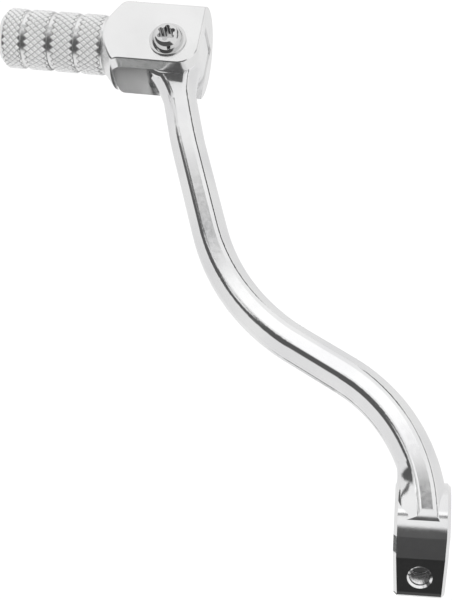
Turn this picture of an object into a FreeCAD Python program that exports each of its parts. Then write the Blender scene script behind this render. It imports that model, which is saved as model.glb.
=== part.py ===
import FreeCAD, Part
import math
import os

# Motorcycle gear shift lever with a folding, spring-returned toe peg.
# Frame: origin in the middle of the splined shaft bore, +X forward along the
# machine, +Y along the shaft away from the engine, +Z up. Millimetres.

V = FreeCAD.Vector

# Shaft clamp
bore_r = 6.0
boss_r = 11.0
boss_width = 13.4
boss_edge = 0.8
ear_taper = 0.6
ear_taper_start = 5.0
ear_dip = 45.0
ear_reach = 17.2
ear_half_height = 6.5
ear_end_round = 3.0
ear_face_start = 4.6
ear_neck_back = 3.2
ear_neck_round = 5.0
slit_width = 2.0
pinch_offset = 10.3
pinch_thread_r = 2.5
pinch_clearance_r = 3.2
pinch_sink_r = 3.1
pinch_seat_r = 5.8

# Arm, forged in one plane
arm_z = 6.5
arm_height = 10.0
arm_width_lug = 9.2
arm_width_boss = 10.2
arm_top_flat = 4.6
arm_side_flat = 3.0
arm_edge_round = 2.0
arm_end = (-2.8, -1.5)
arm_nose_length = 4.4
arm_nose_drop = 1.45
arm_root_x = 14.0
boss_flare_length = 13.0
boss_flare_left = 7.4
boss_flare_flat = 8.4
boss_flare_sink = 0.15
boss_bend = (25.5, 1.65)
middle_bend = (54.45, 52.0)
upper_bend = (102.9, 67.7)
boss_bend_r = 43.0
middle_bend_r = 56.0
upper_bend_r = 90.0

# Hinge between arm and tip
pivot_x = 129.6
pivot_y = 74.6
peg_toe = 4.4
lug_r = 8.45
lug_height = 10.85
lug_chamfer = 0.8
stop_corner_round = 1.2
neck_length = 10.0
neck_start = 5.5
neck_width = 14.0
lug_side_clearance = 0.15
stop_clearance = 0.08

# Folding tip, turned then milled
peg_axis_ahead = 2.0
peg_axis_above = 2.35
peg_r = 8.25
peg_length = 30.2
peg_end_chamfer = 1.4
peg_groove_count = 3
peg_groove_width = 1.1
peg_groove_depth = 0.3
collar_r = 8.1
collar_length = 0.5
flare_length = 4.4
flare_round = 3.0
body_r = 13.0
body_left = 14.8
body_right = 8.8
top_flat_share = 0.64
rear_flat_share = 0.70
rear_flat_end = 12.9
rear_flat_end_round = 2.7
slot_sweep_r = 17.4
slot_mouth = 0.5
flat_edge = 0.25
corner_round = 5.6

# Pivot bolt
shoulder_r = 4.0
shoulder_clearance = 0.05
bolt_thread_r = 3.0
thread_clearance = 0.05
bolt_end_gap = 0.4
head_r = 5.2
head_height = 3.4
head_break = 0.25
flange_height = 0.6
dome_r = 4.45
head_top_r = 3.05
head_crown = 0.4
socket_core_r = 1.95
socket_lobe_r = 0.66
socket_lobe_pcd_r = 2.0
socket_lobes = 6
socket_depth = 2.2

# Return spring, a torsion coil round the bolt inside the lug
spring_wire_r = 0.55
spring_mean_r = 5.15
spring_turns = 3
spring_pitch = 1.35
spring_gap = 0.3
spring_leg = 2.0
spring_leg_clearance = 0.12
spring_pocket_wall_gap = 0.5

# How far a cut runs past the face it starts from
cut_margin = 1.0

# Values that follow from the sizes above
slot_height = lug_height + 2.0 * lug_side_clearance
slot_floor_z = arm_z - slot_height / 2.0
slot_roof_z = arm_z + slot_height / 2.0
lug_floor_z = arm_z - lug_height / 2.0
peg_axis_x = peg_axis_ahead
peg_axis_z = arm_z + peg_axis_above
top_flat_z = peg_axis_z + top_flat_share * body_r
rear_flat_x = peg_axis_x - rear_flat_share * body_r
stop_x = lug_r + stop_clearance
body_end_y = -body_right
flare_y = body_left
collar_y = flare_y + flare_length
peg_y = collar_y + collar_length
tip_end_y = peg_y + peg_length
hinge = V(0.0, 0.0, 0.0)
spring_height = spring_turns * spring_pitch
spring_base_z = slot_floor_z + spring_gap + spring_wire_r
pocket_roof_z = spring_base_z + spring_height + spring_wire_r + spring_gap
pocket_r = spring_mean_r + spring_wire_r + spring_pocket_wall_gap
big = 4.0 * body_r + arm_height


def rounded_path(points, radii, z):
    """Wire of straight runs joined by tangent arcs at the inner points."""
    pts = [V(p[0], p[1], z) for p in points]
    edges = []
    last = pts[0]
    for i in range(1, len(pts) - 1):
        back = (pts[i - 1] - pts[i]).normalize()
        ahead = (pts[i + 1] - pts[i]).normalize()
        half = back.getAngle(ahead) / 2.0
        reach = radii[i - 1] / math.tan(half)
        centre_line = (back + ahead).normalize()
        centre = pts[i] + centre_line * (radii[i - 1] / math.sin(half))
        start = pts[i] + back * reach
        end = pts[i] + ahead * reach
        middle = centre - centre_line * radii[i - 1]
        edges.append(Part.LineSegment(last, start).toShape())
        edges.append(Part.Arc(start, middle, end).toShape())
        last = end
    edges.append(Part.LineSegment(last, pts[-1]).toShape())
    return Part.Wire(edges)


def rounded_polygon(points, radius):
    """Closed wire through the points, each corner rounded by the radius."""
    count = len(points)
    starts = []
    arcs = []
    for i in range(count):
        here = points[i]
        back = (points[i - 1] - here).normalize()
        ahead = (points[(i + 1) % count] - here).normalize()
        half = back.getAngle(ahead) / 2.0
        reach = radius / math.tan(half)
        inward = (back + ahead).normalize()
        start = here + back * reach
        end = here + ahead * reach
        middle = here + inward * (radius / math.sin(half) - radius)
        starts.append((start, end))
        arcs.append(Part.Arc(start, middle, end).toShape())
    edges = []
    for i in range(count):
        edges.append(arcs[i])
        following = starts[(i + 1) % count][0]
        edges.append(Part.LineSegment(starts[i][1], following).toShape())
    return Part.Wire(edges)


def arm_section(at, along, right, left, height, top_flat, right_flat, left_flat):
    """Eight-sided forged section across the arm, its two half widths told from a path point."""
    side = V(0, 0, 1).cross(along).normalize()
    up = V(0, 0, 1)
    h = height / 2.0
    t = top_flat / 2.0
    r = right_flat / 2.0
    l = left_flat / 2.0
    corners = [(t, h), (right, r), (right, -r), (t, -h), (-t, -h), (-left, -l), (-left, l), (-t, h)]
    points = [at + side * a + up * b for a, b in corners]
    return rounded_polygon(points, arm_edge_round)


def prism(points, width):
    """Solid of a closed outline in the XZ plane, centred across Y."""
    face = Part.Face(Part.makePolygon(points + [points[0]]))
    solid = face.extrude(V(0, width, 0))
    solid.translate(V(0, -width / 2.0, 0))
    return solid


def upright(radius, low, high, at):
    """Cylinder parallel to Z between two heights."""
    return Part.makeCylinder(radius, high - low, V(at.x, at.y, low), V(0, 0, 1))


def block(x0, x1, y0, y1, z0, z1):
    """Box between two corners."""
    return Part.makeBox(x1 - x0, y1 - y0, z1 - z0, V(x0, y0, z0))


def place(shape):
    """Move a hinge piece from its own axis to the lever's pivot, with the peg's toe angle."""
    placed = shape.copy()
    placed.rotate(hinge, V(0, 0, 1), -peg_toe)
    placed.translate(V(pivot_x, pivot_y, 0.0))
    return placed


# Shaft clamp: ring, two ears and the sloping neck between ring and upper ear
dip = math.radians(ear_dip)
ear_out = V(-math.cos(dip), 0, -math.sin(dip))
ear_up = V(-math.sin(dip), 0, math.cos(dip))


def clamp_point(out, up):
    """Point of the clamp's side view, out along the ears and up across them."""
    return ear_out * out + ear_up * up


def make_clamp():
    """Ring and ears in one block, before the holes."""
    ring = Part.makeCylinder(boss_r, boss_width, V(0, -boss_width / 2.0, 0), V(0, 1, 0))
    h = ear_half_height
    far = ear_reach
    r = ear_end_round
    k = r * (1.0 - math.sqrt(0.5))
    outline = [
        Part.LineSegment(clamp_point(0, -h), clamp_point(far - r, -h)).toShape(),
        Part.Arc(clamp_point(far - r, -h), clamp_point(far - k, k - h), clamp_point(far, r - h)).toShape(),
        Part.LineSegment(clamp_point(far, r - h), clamp_point(far, h - r)).toShape(),
        Part.Arc(clamp_point(far, h - r), clamp_point(far - k, h - k), clamp_point(far - r, h)).toShape(),
        Part.LineSegment(clamp_point(far - r, h), clamp_point(0, h)).toShape(),
        Part.LineSegment(clamp_point(0, h), clamp_point(0, -h)).toShape(),
    ]
    ears = Part.Face(Part.Wire(outline)).extrude(V(0, boss_width, 0))
    ears.translate(V(0, -boss_width / 2.0, 0))
    clamp = ring.fuse(ears).removeSplitter()
    crown = math.sqrt(boss_r ** 2 - ear_neck_back ** 2)
    top = boss_r + ear_reach
    neck = [
        clamp_point(-ear_neck_back, crown),
        clamp_point(ear_face_start, h),
        clamp_point(far + r, h),
        clamp_point(far + r, top),
        clamp_point(-ear_neck_back, top),
    ]
    cutter = prism(neck, 2.0 * boss_width)
    inner = []
    for edge in cutter.Edges:
        middle = edge.CenterOfMass
        if (middle - clamp_point(ear_face_start, h)).Length < 1e-6:
            inner.append(edge)
    cutter = cutter.makeFillet(ear_neck_round, inner)
    clamp = clamp.cut(cutter)
    wide = boss_width / 2.0
    for side in (1.0, -1.0):
        wedge = [
            ear_out * ear_taper_start + V(0, side * wide, 0),
            ear_out * far + V(0, side * (wide - ear_taper), 0),
            ear_out * far * 2.0 + V(0, side * (wide - ear_taper), 0),
            ear_out * far * 2.0 + V(0, side * wide * 2.0, 0),
            ear_out * ear_taper_start + V(0, side * wide * 2.0, 0),
        ]
        face = Part.Face(Part.makePolygon(wedge + [wedge[0]]))
        face.translate(ear_up * -top)
        clamp = clamp.cut(face.extrude(ear_up * (2.0 * top)))
    rims = []
    for face in clamp.Faces:
        across = face.normalAt(0.0, 0.0)
        if abs(across.y) > 0.9:
            for edge in face.OuterWire.Edges:
                ends = abs(edge.Vertexes[0].Point.y) + abs(edge.Vertexes[-1].Point.y)
                span = edge.tangentAt(edge.FirstParameter)
                ridge = abs(span.dot(ear_up)) > 0.999 and abs(ends - boss_width) < 1e-6
                if not ridge:
                    rims.append(edge)
    return clamp.makeChamfer(boss_edge, rims)


def cut_clamp_holes(solid):
    """Shaft bore, slit, tapped hole above the slit and clear hole below it."""
    width = 2.0 * boss_width
    solid = solid.cut(Part.makeCylinder(bore_r, width, V(0, -boss_width, 0), V(0, 1, 0)))
    far = ear_reach + boss_r
    half = slit_width / 2.0
    slit = [
        clamp_point(0, -half),
        clamp_point(far, -half),
        clamp_point(far, half),
        clamp_point(0, half),
    ]
    solid = solid.cut(prism(slit, width))
    reach = ear_half_height * 2.0
    centre = clamp_point(pinch_offset, 0)
    solid = solid.cut(Part.makeCylinder(pinch_thread_r, reach, centre, ear_up))
    solid = solid.cut(Part.makeCylinder(pinch_clearance_r, reach, centre, ear_up * -1.0))
    mouth = clamp_point(pinch_offset, ear_half_height)
    depth = pinch_sink_r - pinch_thread_r
    sink = Part.makeCone(pinch_sink_r, pinch_thread_r, depth, mouth, ear_up * -1.0)
    solid = solid.cut(sink)
    seat = clamp_point(pinch_offset, -ear_half_height)
    return solid.cut(Part.makeCylinder(pinch_seat_r, boss_r, seat, ear_up * -1.0))


# Lever forging: clamp, swept arm, flared neck and hinge lug in one piece
def make_forging():
    """Whole forging with its machined holes."""
    corners = [(pivot_x, pivot_y), upper_bend, middle_bend, boss_bend, arm_end]
    radii = [upper_bend_r, middle_bend_r, boss_bend_r]
    spine = rounded_path(corners, radii, arm_z)
    start = V(pivot_x, pivot_y, arm_z)
    away = (V(upper_bend[0], upper_bend[1], arm_z) - start).normalize()
    finish = V(arm_end[0], arm_end[1], arm_z)
    into = (finish - V(boss_bend[0], boss_bend[1], arm_z)).normalize()
    slim = arm_width_lug / 2.0
    stout = arm_width_boss / 2.0
    flats = (arm_top_flat, arm_side_flat, arm_side_flat)
    thin = arm_section(start, away, slim, slim, arm_height, *flats)
    thick = arm_section(finish, into, stout, stout, arm_height, *flats)
    sweep = Part.BRepOffsetAPI.MakePipeShell(spine)
    sweep.setBiNormalMode(V(0, 0, 1))
    sweep.add(thin)
    sweep.add(thick)
    sweep.build()
    sweep.makeSolid()
    arm = sweep.shape()
    bend = spine.Edges[-2]
    swell = arm_height - 2.0 * boss_flare_sink
    flats = (arm_top_flat, arm_side_flat, boss_flare_flat)
    sides = [arm_section(finish, into, stout, boss_flare_left, swell, *flats)]
    for step in (0.0, 0.33, 0.67, 1.0):
        turn = bend.LastParameter - boss_flare_length * step / boss_bend_r
        grow = 1.0 - step * step * (3.0 - 2.0 * step)
        inner = stout - boss_flare_sink * (1.0 - grow)
        outer = inner + (boss_flare_left - stout) * grow
        rise = arm_side_flat + (boss_flare_flat - arm_side_flat) * grow
        flats = (arm_top_flat, arm_side_flat, rise)
        sides.append(arm_section(bend.valueAt(turn), bend.tangentAt(turn), inner, outer, swell, *flats))
    flare = Part.makeLoft(sides, True, False)
    top = arm_z + arm_height / 2.0
    nose_x = arm_end[0] + arm_nose_length
    nose_r = (arm_nose_length ** 2 + arm_nose_drop ** 2) / (2.0 * arm_nose_drop)
    wide = 2.0 * boss_width
    over = block(arm_end[0] - cut_margin, nose_x, -wide, wide, arm_z, top + cut_margin)
    round_bar = Part.makeCylinder(nose_r, 2.0 * wide, V(nose_x, -wide, top - nose_r), V(0, 1, 0))
    over = over.cut(round_bar)
    arm = arm.cut(over)
    flare = flare.cut(over)
    rings = []
    for step in (0.0, 0.45, 1.0):
        at = start + away * (neck_start + neck_length * step)
        grow = (1.0 - step) ** 2
        half = slim + (neck_width - arm_width_lug) * grow / 2.0
        height = arm_height + (lug_height - arm_height) * grow
        flat = arm_top_flat + (neck_width - arm_width_lug) * grow
        side = arm_side_flat + (lug_height - arm_height) * grow
        rings.append(arm_section(at, away, half, half, height, flat, side, side))
    neck = Part.makeLoft(rings, True, False)
    low = lug_floor_z
    high = lug_floor_z + lug_height
    disc = upright(lug_r, low, high, hinge)
    corner = block(0.0, lug_r, -lug_r, 0.0, low, high)
    edges = []
    for edge in corner.Edges:
        middle = edge.CenterOfMass
        if (middle - V(lug_r, -lug_r, arm_z)).Length < 1e-6:
            edges.append(edge)
    corner = corner.makeFillet(stop_corner_round, edges)
    lug = disc.fuse(corner).removeSplitter()
    rims = []
    for edge in lug.Edges:
        if edge.BoundBox.ZLength < 1e-6:
            rims.append(edge)
    lug = lug.makeChamfer(lug_chamfer, rims)
    lever = make_clamp().fuse([arm, flare, neck, place(lug)]).removeSplitter()
    lever = cut_clamp_holes(lever)
    hole = upright(shoulder_r + shoulder_clearance, low - cut_margin, high + cut_margin, hinge)
    pocket = upright(pocket_r, low - cut_margin, pocket_roof_z, hinge)
    leg_top = spring_base_z + spring_height + spring_leg + spring_gap
    leg_r = spring_wire_r + spring_leg_clearance
    leg = upright(leg_r, pocket_roof_z - cut_margin, leg_top, spring_point(spring_turns))
    return lever.cut(place(hole)).cut(place(pocket)).cut(place(leg))


def split_forging(whole):
    """Clamp end and arm of the forging, parted by a plane just ahead of the boss."""
    far = pivot_x + pivot_y + big
    ahead = block(arm_root_x, far, -far, far, -far, far)
    return whole.cut(ahead), whole.common(ahead)


# Folding tip: knurled peg, flare and slotted body turned from one bar
def make_folding_tip():
    """Turned bar with its flats, hinge slot and bolt holes."""
    lean = math.atan2(body_r - collar_r, flare_length)
    reach = flare_round * math.tan(lean / 2.0)
    bend_start = V(body_r, flare_y - reach, 0)
    bend_end = V(body_r - reach * math.sin(lean), flare_y + reach * math.cos(lean), 0)
    centre = V(body_r - flare_round, flare_y - reach, 0)
    turn = V(math.cos(lean / 2.0), math.sin(lean / 2.0), 0)
    bend_middle = centre + turn * flare_round
    points = [V(0, tip_end_y, 0), V(0, body_end_y, 0), V(body_r, body_end_y, 0), bend_start]
    profile = []
    for i in range(len(points) - 1):
        profile.append(Part.LineSegment(points[i], points[i + 1]).toShape())
    profile.append(Part.Arc(bend_start, bend_middle, bend_end).toShape())
    outline = [bend_end, V(collar_r, collar_y, 0), V(collar_r, peg_y, 0), V(peg_r, peg_y, 0)]
    groove_r = peg_r - peg_groove_depth
    band = (peg_length - peg_groove_count * peg_groove_width) / (peg_groove_count + 1)
    for i in range(peg_groove_count):
        near = peg_y + (i + 1) * band + i * peg_groove_width
        far = near + peg_groove_width
        outline.append(V(peg_r, near, 0))
        outline.append(V(groove_r, near, 0))
        outline.append(V(groove_r, far, 0))
        outline.append(V(peg_r, far, 0))
    outline.append(V(peg_r, tip_end_y - peg_end_chamfer, 0))
    outline.append(V(peg_r - peg_end_chamfer, tip_end_y, 0))
    outline.append(V(0, tip_end_y, 0))
    for i in range(len(outline) - 1):
        profile.append(Part.LineSegment(outline[i], outline[i + 1]).toShape())
    bar = Part.Face(Part.Wire(profile)).revolve(V(0, 0, 0), V(0, 1, 0), 360)
    bar = Part.Solid(bar) if bar.ShapeType != "Solid" else bar
    bar.translate(V(peg_axis_x, 0, peg_axis_z))
    near = body_end_y - cut_margin
    far = collar_y
    tip = bar.cut(block(peg_axis_x - big, peg_axis_x + big, near, far, top_flat_z, top_flat_z + big))
    high = peg_axis_z + big
    flat_far = rear_flat_end + rear_flat_end_round
    flat = block(rear_flat_x - big, rear_flat_x, near, flat_far, slot_floor_z, high)
    inner = []
    for edge in flat.Edges:
        middle = edge.CenterOfMass
        if abs(middle.x - rear_flat_x) < 1e-6 and abs(middle.y - flat_far) < 1e-6:
            inner.append(edge)
    tip = tip.cut(flat.makeFillet(rear_flat_end_round, inner))
    swept = upright(slot_sweep_r, slot_floor_z, slot_roof_z, hinge)
    swept = swept.fuse(block(-big, big, near, 0.0, slot_floor_z, slot_roof_z))
    room = block(-big, stop_x, near - cut_margin, big, slot_floor_z, slot_roof_z)
    tip = tip.cut(swept.common(room))
    corners = []
    for edge in tip.Edges:
        box = edge.BoundBox
        middle = edge.CenterOfMass
        on_end = abs(middle.y - body_end_y) < 1e-6
        on_rear = abs(middle.x - rear_flat_x) < 1e-6
        if on_end and on_rear and box.ZLength > 1.0 and middle.z > slot_roof_z:
            corners.append(edge)
    tip = tip.makeFillet(corner_round, corners)
    lips = []
    for edge in tip.Edges:
        box = edge.BoundBox
        level = box.ZLength < 1e-6 and abs(box.ZMin - slot_roof_z) < 1e-6
        if level and abs(box.XMax - rear_flat_x) < 1e-6 and box.YLength > slot_height / 2.0:
            lips.append(edge)
    tip = tip.makeChamfer(slot_mouth, lips)
    edges = []
    for edge in tip.Edges:
        box = edge.BoundBox
        if box.ZLength < 1e-6 and abs(box.ZMin - top_flat_z) < 1e-6:
            edges.append(edge)
    tip = tip.makeChamfer(flat_edge, edges)
    tip = tip.cut(upright(shoulder_r + shoulder_clearance, arm_z, top_flat_z + cut_margin, hinge))
    tip = tip.cut(upright(bolt_thread_r + thread_clearance, peg_axis_z - big, arm_z, hinge))
    leg_r = spring_wire_r + spring_leg_clearance
    leg_low = spring_base_z - spring_leg - spring_gap
    return tip.cut(upright(leg_r, leg_low, arm_z, spring_point(0.0)))


# Pivot bolt: button head with a six-lobe socket, ground shoulder and thread
def make_pivot_bolt():
    """Shoulder bolt that seats on the slot floor and screws into the lower cheek."""
    bottom = peg_axis_z - math.sqrt(body_r ** 2 - (peg_axis_ahead + bolt_thread_r) ** 2)
    end_z = bottom + bolt_end_gap
    top = top_flat_z + head_height
    under = top_flat_z + head_break
    rim = top_flat_z + flange_height
    lean = math.atan2(dome_r - head_top_r, top - rim)
    bulge = V(math.cos(lean), 0, math.sin(lean)) * head_crown
    sag = V((dome_r + head_top_r) / 2.0, 0, (rim + top) / 2.0) + bulge
    shape = [
        Part.LineSegment(V(0, 0, end_z), V(bolt_thread_r, 0, end_z)).toShape(),
        Part.LineSegment(V(bolt_thread_r, 0, end_z), V(bolt_thread_r, 0, slot_floor_z)).toShape(),
        Part.LineSegment(V(bolt_thread_r, 0, slot_floor_z), V(shoulder_r, 0, slot_floor_z)).toShape(),
        Part.LineSegment(V(shoulder_r, 0, slot_floor_z), V(shoulder_r, 0, top_flat_z)).toShape(),
        Part.LineSegment(V(shoulder_r, 0, top_flat_z), V(head_r - head_break, 0, top_flat_z)).toShape(),
        Part.LineSegment(V(head_r - head_break, 0, top_flat_z), V(head_r, 0, under)).toShape(),
        Part.LineSegment(V(head_r, 0, under), V(head_r, 0, rim)).toShape(),
        Part.LineSegment(V(head_r, 0, rim), V(dome_r, 0, rim)).toShape(),
        Part.Arc(V(dome_r, 0, rim), sag, V(head_top_r, 0, top)).toShape(),
        Part.LineSegment(V(head_top_r, 0, top), V(0, 0, top)).toShape(),
        Part.LineSegment(V(0, 0, top), V(0, 0, end_z)).toShape(),
    ]
    bolt = Part.Face(Part.Wire(shape)).revolve(V(0, 0, 0), V(0, 0, 1), 360)
    bolt = Part.Solid(bolt) if bolt.ShapeType != "Solid" else bolt
    floor = top - socket_depth
    socket = Part.makeCylinder(socket_core_r, head_height, V(0, 0, floor))
    lobes = []
    for i in range(socket_lobes):
        turn = 2.0 * math.pi * i / socket_lobes
        at = V(socket_lobe_pcd_r * math.cos(turn), socket_lobe_pcd_r * math.sin(turn), floor)
        lobes.append(Part.makeCylinder(socket_lobe_r, head_height, at))
    return bolt.cut(socket.fuse(lobes))


# Return spring: three coils with a straight leg up into the lug and down into the tip
def spring_point(turns):
    """Wire centre after a number of turns, seen from the hinge axis."""
    angle = 2.0 * math.pi * turns
    rise = spring_base_z + spring_pitch * turns
    return V(spring_mean_r * math.cos(angle), spring_mean_r * math.sin(angle), rise)


def make_return_spring():
    """Swept coil with its two legs."""
    path = Part.makeHelix(spring_pitch, spring_height, spring_mean_r)
    climb = spring_pitch / (2.0 * math.pi * spring_mean_r)
    ring = Part.Circle(V(spring_mean_r, 0, 0), V(0, 1, climb), spring_wire_r)
    section = Part.Wire([ring.toShape()])
    coil = Part.Wire(path.Edges).makePipeShell([section], True, True)
    coil.translate(V(0, 0, spring_base_z))
    low = spring_point(0.0)
    high = spring_point(spring_turns)
    down = upright(spring_wire_r, low.z - spring_leg, low.z, low)
    rise = upright(spring_wire_r, high.z, high.z + spring_leg, high)
    ends = [down, rise, Part.makeSphere(spring_wire_r, low), Part.makeSphere(spring_wire_r, high)]
    return coil.fuse(ends)


os.makedirs("parts", exist_ok=True)
clamp_end, arm_length = split_forging(make_forging())
pieces = {
    "shaft_clamp": clamp_end,
    "lever_arm": arm_length,
    "folding_tip": place(make_folding_tip()),
    "pivot_bolt": place(make_pivot_bolt()),
    "return_spring": place(make_return_spring()),
}
for name, shape in pieces.items():
    solid = shape.Solids[0] if len(shape.Solids) == 1 else shape
    print(name, len(shape.Solids), round(shape.Volume, 2), shape.isValid())
    solid.exportStep("parts/" + name + ".step")
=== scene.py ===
"""Motorcycle gear shift lever: finishes, fine pieces, studio and camera.

Sizes are in millimetres until a piece is finished; the scene is in metres.
The frame is the part's own: origin in the middle of the shaft bore, +X
forward, +Y out along the shaft, +Z up.
"""

import logging
import math
from dataclasses import dataclass
from enum import Enum

import bmesh
import bpy
from mathutils import Matrix, Vector

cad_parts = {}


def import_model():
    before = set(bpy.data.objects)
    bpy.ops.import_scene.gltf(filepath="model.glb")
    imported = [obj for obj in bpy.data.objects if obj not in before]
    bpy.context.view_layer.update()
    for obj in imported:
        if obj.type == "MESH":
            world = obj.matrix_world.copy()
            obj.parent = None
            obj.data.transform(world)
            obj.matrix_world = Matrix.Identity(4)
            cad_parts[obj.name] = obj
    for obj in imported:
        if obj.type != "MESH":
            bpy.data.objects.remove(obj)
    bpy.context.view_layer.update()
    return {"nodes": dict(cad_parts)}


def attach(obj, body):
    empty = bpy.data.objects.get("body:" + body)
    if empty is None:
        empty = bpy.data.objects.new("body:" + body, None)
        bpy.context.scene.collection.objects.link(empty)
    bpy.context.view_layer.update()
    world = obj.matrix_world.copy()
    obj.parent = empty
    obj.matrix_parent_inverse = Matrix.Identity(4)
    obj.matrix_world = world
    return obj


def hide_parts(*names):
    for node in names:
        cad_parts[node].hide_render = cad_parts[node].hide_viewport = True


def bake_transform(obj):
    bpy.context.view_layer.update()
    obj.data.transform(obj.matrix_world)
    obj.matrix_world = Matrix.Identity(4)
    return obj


LOG = logging.getLogger("gear_lever")
MM = 0.001
# Points nearer than this, in millimetres, are one point.
WELD = 1e-4
WHITE = "#ffffff"

# The noise of all the metals: how finely it breaks up, and the values that bound its range.
MARK_DETAIL = 3.0
MARK_GRAIN = 0.6
MARK_LOW = 0.3
MARK_HIGH = 0.7
CLOUD_DETAIL = 2.0
CLOUD_DULL = 0.35
CLOUD_CLEAN = 0.6


class Body(Enum):
    """Bodies that the pieces ride on."""

    LEVER = "lever"
    TIP = "tip"


class Slot(Enum):
    """Material slots of the record."""

    POLISHED = "polished_aluminium"
    MACHINED = "machined_aluminium"
    SPRING = "spring_steel"


def linear(code: str) -> tuple[float, float, float, float]:
    """Turn an sRGB hex colour to linear, by the curve of the sRGB standard.

    Args:
        code: Six hex digits after a hash sign.

    Returns:
        Linear red, green, blue and an alpha of 1.
    """
    parts = [int(code[i:i + 2], 16) / 255.0 for i in (1, 3, 5)]
    curve = [
        part / 12.92 if part <= 0.04045 else ((part + 0.055) / 1.055) ** 2.4
        for part in parts]
    return (curve[0], curve[1], curve[2], 1.0)


def add_node(
        tree: bpy.types.NodeTree, kind: str, inputs: dict[str | int, object] | None = None,
        **settings: object) -> bpy.types.Node:
    """Add one shader node with its settings and links.

    Args:
        tree: The node tree that takes the node.
        kind: The node's type name.
        inputs: Input names or numbers, each with a value or an output to link.
        **settings: Properties of the node itself.

    Returns:
        The new node.
    """
    node = tree.nodes.new(kind)
    for name, value in settings.items():
        setattr(node, name, value)
    for key, value in (inputs or {}).items():
        if isinstance(value, bpy.types.NodeSocket):
            tree.links.new(value, node.inputs[key])
        else:
            node.inputs[key].default_value = value
    return node


def whole(shape: bmesh.types.BMesh) -> list:
    """Return all of a shape's vertices, edges and faces, for an operator."""
    return shape.verts[:] + shape.edges[:] + shape.faces[:]


def finish_mesh(
        name: str, shape: bmesh.types.BMesh, place: Matrix, smooth: bool) -> bpy.types.Object:
    """Turn a bmesh in millimetres into an object with its place in its mesh.

    Args:
        name: Name of the object and its mesh.
        shape: The bmesh, which is freed.
        place: Where it goes, in millimetres.
        smooth: Whether its faces shade smoothly.

    Returns:
        The object, at the origin, unturned and unscaled.
    """
    bmesh.ops.remove_doubles(shape, verts=shape.verts, dist=WELD)
    bmesh.ops.transform(shape, matrix=Matrix.Scale(MM, 4) @ place, verts=shape.verts)
    bmesh.ops.recalc_face_normals(shape, faces=shape.faces)
    for face in shape.faces:
        face.smooth = smooth
    mesh = bpy.data.meshes.new(name)
    shape.to_mesh(mesh)
    shape.free()
    piece = bpy.data.objects.new(name, mesh)
    bpy.context.scene.collection.objects.link(piece)
    return piece


@dataclass(frozen=True)
class PaintedShade:
    """Painted shade on the metal inside a hole or hollow, within a round wall.

    Attributes:
        colour: Colour of the metal in the painted shade.
        at: Point on the wall's axis, level with the mouth, in millimetres.
        axis: Direction of that axis, out of the mouth.
        radius: Radius of the wall.
        step: Depth from which the wall is wider, or 0 for none.
        wide: Its radius from there on.
        margin: How far behind the wall the painted shade still reaches.
        fade: Depth below the mouth over which it sets in.
    """

    colour: str
    at: tuple[float, float, float]
    axis: tuple[float, float, float]
    radius: float
    step: float = 0.0
    wide: float = 0.0
    margin: float = 0.1
    fade: float = 0.8

    def lay(
            self, tree: bpy.types.NodeTree, place: bpy.types.NodeSocket,
            clean: bpy.types.NodeSocket) -> bpy.types.NodeSocket:
        """Paint the shade over the metal, below the mouth and within the wall.

        Args:
            tree: The material's node tree.
            place: Object coordinates.
            clean: Colour of the metal without the painted shade.

        Returns:
            The colour with the painted shade.
        """
        mouth = tuple(value * MM for value in self.at)
        away = add_node(
            tree, "ShaderNodeVectorMath", {0: place, 1: mouth}, operation="SUBTRACT")
        across = add_node(
            tree, "ShaderNodeVectorMath", {0: away.outputs[0], 1: self.axis},
            operation="CROSS_PRODUCT")
        across = add_node(
            tree, "ShaderNodeVectorMath", {0: across.outputs[0]}, operation="LENGTH")
        height = add_node(
            tree, "ShaderNodeVectorMath", {0: away.outputs[0], 1: self.axis},
            operation="DOT_PRODUCT")
        within = add_node(
            tree, "ShaderNodeMath",
            {0: across.outputs["Value"], 1: (self.radius + self.margin) * MM},
            operation="LESS_THAN")
        below = add_node(tree, "ShaderNodeMapRange", {
            "Value": height.outputs["Value"], "From Min": 0.0, "From Max": -self.fade * MM})
        share = add_node(
            tree, "ShaderNodeMath", {0: within.outputs[0], 1: below.outputs["Result"]},
            operation="MULTIPLY")
        if self.step:
            deep = add_node(
                tree, "ShaderNodeMath", {0: height.outputs["Value"], 1: -self.step * MM},
                operation="LESS_THAN")
            near = add_node(
                tree, "ShaderNodeMath",
                {0: across.outputs["Value"], 1: (self.wide + self.margin) * MM},
                operation="LESS_THAN")
            both = add_node(
                tree, "ShaderNodeMath", {0: deep.outputs[0], 1: near.outputs[0]},
                operation="MULTIPLY")
            share = add_node(
                tree, "ShaderNodeMath", {0: share.outputs[0], 1: both.outputs[0]},
                operation="MAXIMUM")
        shaded = add_node(
            tree, "ShaderNodeMix", {0: share.outputs[0], 6: clean, 7: linear(self.colour)},
            data_type="RGBA")
        return shaded.outputs[2]


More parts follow.
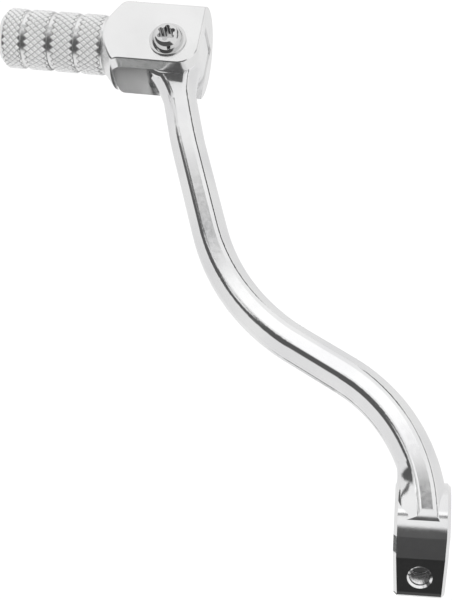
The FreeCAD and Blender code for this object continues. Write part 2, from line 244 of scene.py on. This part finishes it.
@dataclass(frozen=True)
class MetalFinish:
    """A bare metal with the marks that its making left.

    Attributes:
        name: Material name.
        colour: Metal colour where it is cleanest.
        dull: Metal colour in the faint clouding.
        roughness: Middle roughness.
        swing: How far the roughness goes to each side.
        marks_mm: Size of the marks along the turned X, Y and Z.
        depth_mm: Depth of the marks.
        turn: Angle of the marks about Z, in degrees.
        cloud_mm: Size of the clouding.
        metallic: Share of bare metal; blasted pits scatter the rest like a powder.
        painted_shade: Painted shade in a hole or hollow, if any.
    """

    name: str
    colour: str
    dull: str
    roughness: float
    swing: float
    marks_mm: tuple[float, float, float]
    depth_mm: float
    turn: float = 0.0
    cloud_mm: float = 14.0
    metallic: float = 1.0
    painted_shade: PaintedShade | None = None

    def build(self) -> bpy.types.Material:
        """Make the material.

        Returns:
            The node material, on Object coordinates.
        """
        material = bpy.data.materials.new(self.name)
        material.use_nodes = True
        tree = material.node_tree
        shader = tree.nodes["Principled BSDF"]
        shader.inputs["Metallic"].default_value = self.metallic
        place = add_node(tree, "ShaderNodeTexCoord").outputs["Object"]
        scale = tuple(1.0 / (size * MM) for size in self.marks_mm)
        spin = (0.0, 0.0, math.radians(self.turn))
        turned = add_node(tree, "ShaderNodeMapping", {"Vector": place, "Rotation": spin})
        sized = add_node(
            tree, "ShaderNodeMapping", {"Vector": turned.outputs["Vector"], "Scale": scale})
        marks = add_node(tree, "ShaderNodeTexNoise", {
            "Vector": sized.outputs["Vector"], "Scale": 1.0,
            "Detail": MARK_DETAIL, "Roughness": MARK_GRAIN})
        cloud = add_node(tree, "ShaderNodeTexNoise", {
            "Vector": place, "Scale": 1.0 / (self.cloud_mm * MM), "Detail": CLOUD_DETAIL})
        tint = add_node(tree, "ShaderNodeValToRGB", {"Fac": cloud.outputs["Fac"]})
        dull, clean = tint.color_ramp.elements
        dull.position, dull.color = CLOUD_DULL, linear(self.dull)
        clean.position, clean.color = CLOUD_CLEAN, linear(self.colour)
        gloss = add_node(tree, "ShaderNodeMapRange", {
            "Value": marks.outputs["Fac"], "From Min": MARK_LOW, "From Max": MARK_HIGH,
            "To Min": self.roughness - self.swing, "To Max": self.roughness + self.swing})
        relief = add_node(tree, "ShaderNodeBump", {
            "Height": marks.outputs["Fac"], "Strength": 1.0, "Distance": self.depth_mm * MM})
        colour = tint.outputs["Color"]
        if self.painted_shade:
            colour = self.painted_shade.lay(tree, place, colour)
        tree.links.new(colour, shader.inputs["Base Color"])
        tree.links.new(gloss.outputs["Result"], shader.inputs["Roughness"])
        tree.links.new(relief.outputs["Normal"], shader.inputs["Normal"])
        return material


# The real marks are finer than a pixel, so each finish draws them as coarse as they need to show.

# Forged aluminium, buffed to a mirror: soft clear reflections with a faint haze, and painted
# shade inside the pinch hole, in its wider end too.
BUFFED_FORGING = MetalFinish(
    "buffed forged aluminium", "#f0f0f0", "#e9e9ea", 0.13, 0.03, (1.2, 1.2, 1.2), 0.0006,
    painted_shade=PaintedShade(
        "#303030", at=(-11.879, 0.0, -2.687), axis=(-0.70711, 0.0, 0.70711), radius=2.5,
        step=5.3, wide=3.3))
# Freshly tapped thread in the same forging: small bright flanks in the dark hole.
TAPPED_THREAD = MetalFinish(
    "tapped aluminium thread", "#ededed", "#dedede", 0.22, 0.04, (0.4, 0.4, 0.4), 0.001)
# Turned aluminium bar, tumbled: an even pale satin that hides its tool marks.
TUMBLED_BAR = MetalFinish(
    "tumbled turned aluminium", "#f2f2f2", "#ededed", 0.24, 0.03, (0.5, 0.5, 2.6), 0.0006, 4.4)
# Rolled knurl on the same bar, blasted: pale diamonds without glare, and painted shade in the
# valleys, which lie within a round wall just under the crests.
ROLLED_KNURL = MetalFinish(
    "rolled knurl in aluminium", "#fafafa", "#f4f4f4", 0.5, 0.05, (0.4, 0.4, 0.4), 0.002,
    metallic=0.5,
    painted_shade=PaintedShade(
        "#a2a2a2", at=(135.58, 126.29, 8.85), axis=(0.0767, 0.9971, 0.0), radius=8.21))
# Stainless bolt, polished: the sharpest reflections on the part, and painted shade in the socket.
POLISHED_BOLT = MetalFinish(
    "polished stainless steel", "#dedede", "#d4d4d4", 0.1, 0.02, (0.8, 0.8, 0.8), 0.0004,
    painted_shade=PaintedShade("#c2c2c2", at=(129.6, 74.6, 20.5), axis=(0.0, 0.0, 1.0), radius=2.7))
# Drawn spring wire: darker and greyer than the rest, with a fine mottled gloss.
DRAWN_WIRE = MetalFinish(
    "drawn spring steel", "#9a9895", "#84827f", 0.3, 0.06, (0.4, 0.4, 0.4), 0.001)


@dataclass
class Hinge:
    """The pivot that carries the tip, with the toe angle of its peg in degrees."""

    x: float = 129.6
    y: float = 74.6
    toe: float = 4.4

    def place(self) -> Matrix:
        """Return the matrix from the hinge's own axes to the part's frame."""
        turn = Matrix.Rotation(math.radians(-self.toe), 4, "Z")
        return Matrix.Translation((self.x, self.y, 0.0)) @ turn


@dataclass
class KnurledPeg:
    """Raised diamond knurl on the four bands of the toe peg."""

    hinge: Hinge
    axis_x: float = 2.0
    axis_z: float = 8.85
    start: float = 19.7
    length: float = 30.2
    radius: float = 8.25
    end_chamfer: float = 1.4
    grooves: int = 3
    groove_width: float = 1.1
    round_count: int = 28
    row_length: float = 2.05
    crest: float = 0.36
    flank: float = 0.42
    lift: float = 0.02

    def build(self, material: bpy.types.Material) -> list[bpy.types.Object]:
        """Make and dress every band.

        Args:
            material: Finish of the knurl.

        Returns:
            The bands, from the hinge outwards.
        """
        band = (self.length - self.grooves * self.groove_width) / (self.grooves + 1)
        pieces = []
        for i in range(self.grooves + 1):
            near = self.start + i * (band + self.groove_width)
            last = i == self.grooves
            far = near + band - (self.end_chamfer if last else 0.0)
            piece = self.band(f"knurl_band_{i + 1}", near, far)
            piece.data.materials.append(material)
            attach(piece, Body.TIP.value)
            pieces.append(piece)
        return pieces

    def band(self, name: str, near: float, far: float) -> bpy.types.Object:
        """Make one band: a ring of quads, turned to diamonds, each drawn up to a small crest.

        Args:
            name: Name of the piece.
            near: Distance of its inner end from the hinge axis, along the peg.
            far: Distance of its outer end.

        Returns:
            The band.
        """
        shape = bmesh.new()
        base = self.radius + self.lift
        bmesh.ops.create_cone(
            shape, cap_ends=True, cap_tris=False, segments=self.round_count,
            radius1=base, radius2=base, depth=far - near)
        rows = round((far - near) / self.row_length)
        runs = [e for e in shape.edges if abs(e.verts[0].co.z - e.verts[1].co.z) > WELD]
        bmesh.ops.subdivide_edges(shape, edges=runs, cuts=rows - 1, use_grid_fill=True)
        sides = [f for f in shape.faces if len(f.verts) == 4]
        ring = set(sides)
        lines = [e for e in shape.edges if all(f in ring for f in e.link_faces)]
        poked = bmesh.ops.poke(shape, faces=sides, offset=0.0, center_mode="MEAN")
        for vert in poked["verts"]:
            out = Vector((vert.co.x, vert.co.y)).length
            vert.co.x *= base / out
            vert.co.y *= base / out
        bmesh.ops.dissolve_edges(shape, edges=lines, use_verts=False, use_face_split=False)
        diamonds = [f for f in shape.faces if len(f.verts) == 4]
        bmesh.ops.inset_individual(
            shape, faces=diamonds, thickness=self.flank, depth=self.crest, use_even_offset=True)
        middle = Vector((self.axis_x, (near + far) / 2.0, self.axis_z))
        along = Matrix.Rotation(math.radians(-90.0), 4, "X")
        place = self.hinge.place() @ Matrix.Translation(middle) @ along
        return finish_mesh(name, shape, place, smooth=False)


@dataclass
class ReturnSpring:
    """Torsion coil round the bolt: its top leg stays with the arm, its lower leg with the tip."""

    hinge: Hinge
    wire: float = 0.55
    wire_sides: int = 12
    mean: float = 5.15
    turns: int = 3
    pitch: float = 1.35
    base: float = 1.775
    leg: float = 2.0
    steps: int = 28

    def build(self, material: bpy.types.Material) -> bpy.types.Object:
        """Make the coil in place of its plain solid.

        Args:
            material: Finish of the wire.

        Returns:
            The coil.
        """
        shape = bmesh.new()
        upright = Matrix.Rotation(math.radians(90.0), 4, "X")
        at = Matrix.Translation((self.mean, 0.0, self.base))
        bmesh.ops.create_circle(
            shape, cap_ends=True, segments=self.wire_sides, radius=self.wire,
            matrix=at @ upright)
        rise = Vector((0.0, 0.0, self.pitch / self.steps))
        bmesh.ops.spin(
            shape, geom=whole(shape), cent=(0.0, 0.0, 0.0), axis=(0.0, 0.0, 1.0), dvec=rise,
            angle=2.0 * math.pi * self.turns, steps=self.turns * self.steps)
        top = self.base + self.turns * self.pitch
        for middle in (self.base - self.leg / 2.0, top + self.leg / 2.0):
            here = Matrix.Translation((self.mean, 0.0, middle))
            bmesh.ops.create_cone(
                shape, cap_ends=True, segments=self.wire_sides, radius1=self.wire,
                radius2=self.wire, depth=self.leg + self.wire, matrix=here)
        piece = finish_mesh("return_coil", shape, self.hinge.place(), smooth=True)
        piece.data.materials.append(material)
        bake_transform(piece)
        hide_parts("return_spring")
        return piece


@dataclass
class ShaftClamp:
    """Fine machining of the clamp: thread of the pinch hole and serrations of the bore.

    Both are sunk a little into the walls that they stand on.
    """

    dip: float = 45.0
    hole_offset: float = 10.3
    hole_radius: float = 2.5
    thread_from: float = 1.2
    thread_to: float = 5.8
    thread_pitch: float = 1.0
    thread_depth: float = 0.34
    thread_sink: float = 0.05
    thread_steps: int = 28
    ridge_share: float = 0.9
    bore_radius: float = 6.0
    bore_width: float = 13.4
    slit_half_angle: float = 11.0
    teeth: int = 28
    tooth_height: float = 0.5
    tooth_sink: float = 0.06
    tooth_gap: float = 0.02
    tooth_inset: float = 0.9

    def build(
            self, material: bpy.types.Material,
            thread: bpy.types.Material) -> list[bpy.types.Object]:
        """Make and dress the thread and the serrations.

        Args:
            material: Finish of the forging.
            thread: Finish of the thread.

        Returns:
            Both pieces.
        """
        pieces = [self.thread(), self.serrations()]
        for piece, finish in zip(pieces, (thread, material)):
            piece.data.materials.append(finish)
            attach(piece, Body.LEVER.value)
        return pieces

    def thread(self) -> bpy.types.Object:
        """Screw a small ridge up the wall of the pinch hole.

        Returns:
            The thread.
        """
        shape = bmesh.new()
        wall = self.hole_radius + self.thread_sink
        half = self.ridge_share * self.thread_pitch / 2.0
        corners = [(wall, -half), (self.hole_radius - self.thread_depth, 0.0), (wall, half)]
        verts = [shape.verts.new((r, 0.0, self.thread_from + half + z)) for r, z in corners]
        shape.faces.new(verts)
        turns = (self.thread_to - self.thread_from) / self.thread_pitch - self.ridge_share
        count = int(turns * self.thread_steps)
        rise = Vector((0.0, 0.0, turns * self.thread_pitch / count))
        bmesh.ops.spin(
            shape, geom=whole(shape), cent=(0.0, 0.0, 0.0), axis=(0.0, 0.0, 1.0), dvec=rise,
            angle=2.0 * math.pi * turns, steps=count)
        dip = math.radians(self.dip)
        out = Vector((-math.cos(dip), 0.0, -math.sin(dip)))
        lean = Matrix.Rotation(-dip, 4, "Y")
        place = Matrix.Translation(out * self.hole_offset) @ lean
        return finish_mesh("pinch_thread", shape, place, smooth=False)

    def serrations(self) -> bpy.types.Object:
        """Stand a row of small teeth round the bore, clear of the slit.

        Returns:
            The teeth.
        """
        shape = bmesh.new()
        span = math.radians(360.0 - 2.0 * self.slit_half_angle)
        step = span / self.teeth
        first = math.radians(180.0 + self.dip + self.slit_half_angle)
        wall = self.bore_radius + self.tooth_sink
        low = -self.bore_width / 2.0 + self.tooth_inset
        corners = [
            (wall, self.tooth_gap), (self.bore_radius - self.tooth_height, 0.5),
            (wall, 1.0 - self.tooth_gap)]
        verts = []
        for r, part in corners:
            angle = first + step * part
            verts.append(shape.verts.new((r * math.cos(angle), low, r * math.sin(angle))))
        face = shape.faces.new(verts)
        grown = bmesh.ops.extrude_face_region(shape, geom=[face])
        moved = [v for v in grown["geom"] if isinstance(v, bmesh.types.BMVert)]
        length = self.bore_width - 2.0 * self.tooth_inset
        bmesh.ops.translate(shape, verts=moved, vec=(0.0, length, 0.0))
        bmesh.ops.spin(
            shape, geom=whole(shape), cent=(0.0, 0.0, 0.0), axis=(0.0, -1.0, 0.0),
            angle=step * (self.teeth - 1), steps=self.teeth - 1, use_duplicate=True)
        return finish_mesh("bore_serrations", shape, Matrix.Identity(4), smooth=False)


@dataclass
class ForgedNodes:
    """The solids of the frame, by node name."""

    nodes: dict[str, bpy.types.Object]

    def dress(self, finishes: dict[str, bpy.types.Material]) -> None:
        """Give each solid its finish.

        Args:
            finishes: Material for each node name.
        """
        for name, material in finishes.items():
            solid = self.nodes[name]
            if not solid.material_slots:
                solid.data.materials.append(material)
            for place in solid.material_slots:
                place.material = material
            LOG.info("dressed %s with %s", name, material.name)


@dataclass(frozen=True)
class Card:
    """A plain card of the studio that only the metal's reflections show.

    Attributes:
        name: Name of the card.
        centre: Middle of the card, in millimetres.
        facing: Point that it faces.
        size: Width and height, in millimetres.
        colour: Colour that the metal sees.
        roll: Turn in its own plane, in degrees.
    """

    name: str
    centre: tuple[float, float, float]
    facing: tuple[float, float, float]
    size: tuple[float, float]
    colour: str
    roll: float = 0.0

    def build(self) -> None:
        """Make the card and hide it from all but reflections."""
        shape = bmesh.new()
        stretch = Matrix.Diagonal((self.size[0] / 2.0, self.size[1] / 2.0, 1.0, 1.0))
        bmesh.ops.create_grid(shape, x_segments=1, y_segments=1, size=1.0, matrix=stretch)
        away = Vector(self.facing) - Vector(self.centre)
        turn = away.to_track_quat("Z", "Y").to_matrix().to_4x4()
        turn = turn @ Matrix.Rotation(math.radians(self.roll), 4, "Z")
        card = finish_mesh(
            self.name, shape, Matrix.Translation(self.centre) @ turn, smooth=False)
        # Matt studio card: one even tone, whatever light falls on it.
        material = bpy.data.materials.new(self.name)
        material.use_nodes = True
        tree = material.node_tree
        tree.nodes.clear()
        glow = add_node(
            tree, "ShaderNodeEmission", {"Color": linear(self.colour), "Strength": 1.0})
        add_node(tree, "ShaderNodeOutputMaterial", {"Surface": glow.outputs["Emission"]})
        card.data.materials.append(material)
        card.visible_camera = False
        card.visible_diffuse = False
        card.visible_shadow = False


# What stood round the lever in the photograph, as the metal shows it. The last card stood
# nowhere:
# it glows in the hinge slot to put a painted reflection on the slot's walls, nearly black without
# it.
CARDS = (
    Card("rear_flag", (-215.0, 0.0, 32.5), (-10.0, 0.0, 32.5), (150.0, 105.0), "#2e2e2e"),
    Card("rear_haze", (-215.0, 0.0, -132.5), (-10.0, 0.0, -132.5), (150.0, 225.0), "#4c4c4c"),
    Card("low_flag", (-52.0, 140.0, -250.0), (-52.0, 140.0, 0.0), (96.0, 136.0), "#565857"),
    Card(
        "left_sheet", (398.0, 320.0, 175.0), (398.0, 0.0, 175.0), (350.0, 470.0), "#f0f0f0",
        -16.6),
    Card("left_gap", (40.0, 408.0, 500.0), (54.0, 47.0, 12.0), (110.0, 240.0), "#f4f4f4", -36.7),
    Card("left_canopy", (425.0, 470.0, 750.0), (425.0, 470.0, 0.0), (150.0, 360.0), "#5c5c5c"),
    Card("right_strip", (740.0, -350.0, 245.0), (740.0, 0.0, 245.0), (480.0, 250.0), "#505050"),
    Card("grey_patch", (455.0, 186.0, 750.0), (455.0, 186.0, 0.0), (95.0, 70.0), "#b4b4b4", 21.0),
    Card("right_slip", (330.0, -350.0, 200.0), (330.0, 0.0, 200.0), (380.0, 100.0), "#6a6a6a"),
    Card("hood", (150.0, -13.0, 600.0), (150.0, -13.0, 0.0), (80.0, 80.0), "#868686"),
    Card("slot_glint", (136.5, 86.1, 1.3), (136.5, 86.1, 100.0), (6.5, 7.5), "#e4e4e4"),
)


@dataclass
class Studio:
    """White sweep, soft dome, one soft box and the photograph's viewpoint.

    Attributes:
        floor_z: Height of the floor.
        floor_size: Side of the floor.
        floor_colour: Paint of the floor.
        shadow_share: Share of that paint, and so of the shadow, that shows.
        floor_glow: Level of the rest as the camera sees it.
        floor_mirror: Level of the rest as the metal sees it.
        room_colour: The dim room outside the tent.
        lid_colour: The tent's cloth.
        lid_tilt: Direction in which the cloth lies; the room lies opposite.
        lid_blur: Softness of the edge between them.
        skirt_colour: The cloth low down all round.
        skirt_from: Height up to which that cloth is full.
        skirt_to: Height at which it ends.
        glare_way: Direction of the brightest patch of cloth.
        glare_inner: Its half angle, in degrees.
        glare_outer: Half angle at which it has faded.
        glare_gain: How much brighter it is.
        lamp_at: Place of the soft box.
        lamp_aim: Point that it lights.
        lamp_size: Its width and height.
        lamp_power: Its power, in watts.
        lens: Focal length.
        sensor: Width of the sensor.
        clip_from: Nearest that the camera sees.
        clip_to: Furthest that it sees.
        eye: Place of the camera.
        right: Direction of the picture's right.
        up: Direction of the picture's top.
        back: Direction from the picture to the camera.
    """

    floor_z: float = -260.0
    floor_size: float = 4000.0
    floor_colour: str = "#f6f6f6"
    shadow_share: float = 0.25
    floor_glow: float = 1.16
    floor_mirror: float = 0.91
    room_colour: str = "#5c5c5c"
    lid_colour: str = "#fbfbfb"
    lid_tilt: tuple[float, float, float] = (3.7, -3.3, 1.0)
    lid_blur: float = 0.35
    skirt_colour: str = "#f1f1f1"
    skirt_from: float = 0.1
    skirt_to: float = 0.24
    glare_way: tuple[float, float, float] = (0.34, 0.05, 0.94)
    glare_inner: float = 7.0
    glare_outer: float = 10.0
    glare_gain: float = 0.25
    lamp_at: tuple[float, float, float] = (-350.0, 350.0, 400.0)
    lamp_aim: tuple[float, float, float] = (130.0, 110.0, 10.0)
    lamp_size: tuple[float, float] = (280.0, 220.0)
    lamp_power: float = 2.2
    lens: float = 80.4
    sensor: float = 36.0
    clip_from: float = 10.0
    clip_to: float = 20000.0
    eye: tuple[float, float, float] = (-83.766, 5.843, 325.756)
    right: tuple[float, float, float] = (0.08927, -0.99032, -0.10632)
    up: tuple[float, float, float] = (0.91352, 0.03888, 0.40493)
    back: tuple[float, float, float] = (-0.39688, -0.13327, 0.90814)

    def build(self) -> None:
        """Set up the whole studio."""
        self.floor()
        self.dome()
        self.lamp()
        for card in CARDS:
            card.build()
        self.camera()
        bpy.context.scene.view_settings.view_transform = "Standard"

    def floor(self) -> None:
        """Lay a pale floor that reads as white but keeps a soft shadow."""
        shape = bmesh.new()
        bmesh.ops.create_grid(shape, x_segments=1, y_segments=1, size=self.floor_size / 2.0)
        floor = finish_mesh(
            "floor", shape, Matrix.Translation((0.0, 0.0, self.floor_z)), smooth=False)
        # Painted paper sweep: plain white to the eye, a little dimmer in the metal.
        material = bpy.data.materials.new("white sweep")
        material.use_nodes = True
        tree = material.node_tree
        tree.nodes.clear()
        path = add_node(tree, "ShaderNodeLightPath").outputs
        seen = add_node(
            tree, "ShaderNodeMath", {0: path["Is Camera Ray"], 1: path["Is Glossy Ray"]},
            operation="MAXIMUM")
        seen = add_node(
            tree, "ShaderNodeMath", {0: seen.outputs[0], 1: path["Is Transmission Ray"]},
            operation="MAXIMUM")
        share = add_node(
            tree, "ShaderNodeMath", {0: seen.outputs[0], 1: 1.0 - self.shadow_share},
            operation="MULTIPLY")
        paint = add_node(tree, "ShaderNodeBsdfDiffuse", {"Color": linear(self.floor_colour)})
        level = add_node(
            tree, "ShaderNodeMath",
            {0: path["Is Camera Ray"], 1: self.floor_glow - self.floor_mirror,
             2: self.floor_mirror},
            operation="MULTIPLY_ADD")
        glow = add_node(
            tree, "ShaderNodeEmission", {"Color": linear(WHITE), "Strength": level.outputs[0]})
        both = add_node(tree, "ShaderNodeMixShader", {
            0: share.outputs[0], 1: paint.outputs["BSDF"], 2: glow.outputs["Emission"]})
        add_node(tree, "ShaderNodeOutputMaterial", {"Surface": both.outputs["Shader"]})
        floor.data.materials.append(material)

    def dome(self) -> None:
        """Light the scene with a white tent, open to a dim room behind and on the outer side."""
        world = bpy.data.worlds.new("white studio")
        bpy.context.scene.world = world
        world.use_nodes = True
        tree = world.node_tree
        tree.nodes.clear()
        way = add_node(tree, "ShaderNodeTexCoord").outputs["Generated"]
        tilt = add_node(
            tree, "ShaderNodeVectorMath", {0: way, 1: self.lid_tilt}, operation="DOT_PRODUCT")
        lid = add_node(
            tree, "ShaderNodeMapRange",
            {"Value": tilt.outputs["Value"], "From Min": -self.lid_blur,
             "From Max": self.lid_blur},
            interpolation_type="SMOOTHSTEP")
        height = add_node(tree, "ShaderNodeSeparateXYZ", {"Vector": way})
        skirt = add_node(
            tree, "ShaderNodeMapRange",
            {"Value": height.outputs["Z"], "From Min": self.skirt_to,
             "From Max": self.skirt_from},
            interpolation_type="SMOOTHSTEP")
        pale = add_node(
            tree, "ShaderNodeMath", {0: lid.outputs["Result"], 1: skirt.outputs["Result"]},
            operation="MAXIMUM")
        cloth = add_node(
            tree, "ShaderNodeMix",
            {0: skirt.outputs["Result"], 6: linear(self.lid_colour),
             7: linear(self.skirt_colour)},
            data_type="RGBA")
        shade = add_node(
            tree, "ShaderNodeMix",
            {0: pale.outputs[0], 6: linear(self.room_colour), 7: cloth.outputs[2]},
            data_type="RGBA")
        aim = add_node(
            tree, "ShaderNodeVectorMath", {0: way, 1: self.glare_way}, operation="DOT_PRODUCT")
        glare = add_node(
            tree, "ShaderNodeMapRange",
            {"Value": aim.outputs["Value"],
             "From Min": math.cos(math.radians(self.glare_outer)),
             "From Max": math.cos(math.radians(self.glare_inner)),
             "To Min": 1.0, "To Max": 1.0 + self.glare_gain},
            interpolation_type="SMOOTHSTEP")
        path = add_node(tree, "ShaderNodeLightPath")
        soft = add_node(tree, "ShaderNodeBackground", {
            "Color": shade.outputs[2], "Strength": glare.outputs["Result"]})
        white = add_node(
            tree, "ShaderNodeBackground", {"Color": linear(WHITE), "Strength": 1.0})
        both = add_node(tree, "ShaderNodeMixShader", {
            0: path.outputs["Is Camera Ray"], 1: soft.outputs["Background"],
            2: white.outputs["Background"]})
        add_node(tree, "ShaderNodeOutputWorld", {"Surface": both.outputs["Shader"]})

    def lamp(self) -> None:
        """Hang a soft box behind the peg that lights its knurl and the floor, unmirrored."""
        data = bpy.data.lights.new("soft_box", "AREA")
        data.shape = "RECTANGLE"
        data.size = self.lamp_size[0] * MM
        data.size_y = self.lamp_size[1] * MM
        data.energy = self.lamp_power
        holder = bpy.data.objects.new("soft_box", data)
        at = Vector(self.lamp_at)
        turn = (Vector(self.lamp_aim) - at).to_track_quat("-Z", "Y").to_matrix().to_4x4()
        holder.matrix_world = Matrix.Translation(at * MM) @ turn
        holder.visible_glossy = False
        bpy.context.scene.collection.objects.link(holder)

    def camera(self) -> None:
        """Stand the camera where the photograph was taken from."""
        data = bpy.data.cameras.new("viewpoint")
        data.lens = self.lens
        data.sensor_width = self.sensor
        data.clip_start = self.clip_from * MM
        data.clip_end = self.clip_to * MM
        holder = bpy.data.objects.new("viewpoint", data)
        axes = Matrix((self.right, self.up, self.back)).transposed().to_4x4()
        holder.matrix_world = Matrix.Translation(Vector(self.eye) * MM) @ axes
        bpy.context.scene.collection.objects.link(holder)
        bpy.context.scene.camera = holder


def main() -> None:
    """Load the frame, dress it, add the fine pieces and light the scene."""
    logging.basicConfig(level=logging.INFO, format="%(name)s: %(message)s")
    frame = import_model()
    forging = BUFFED_FORGING.build()
    bar = TUMBLED_BAR.build()
    bolt = POLISHED_BOLT.build()
    wire = DRAWN_WIRE.build()
    ForgedNodes(frame["nodes"]).dress({
        "shaft_clamp": forging, "lever_arm": forging, "folding_tip": bar, "pivot_bolt": bolt,
        "return_spring": wire})
    hinge = Hinge()
    pieces = KnurledPeg(hinge).build(ROLLED_KNURL.build())
    pieces += ShaftClamp().build(forging, TAPPED_THREAD.build())
    pieces.append(ReturnSpring(hinge).build(wire))
    for piece in pieces:
        LOG.info("%s: %d faces", piece.name, len(piece.data.polygons))
    Studio().build()


if __name__ == "__main__":
    main()
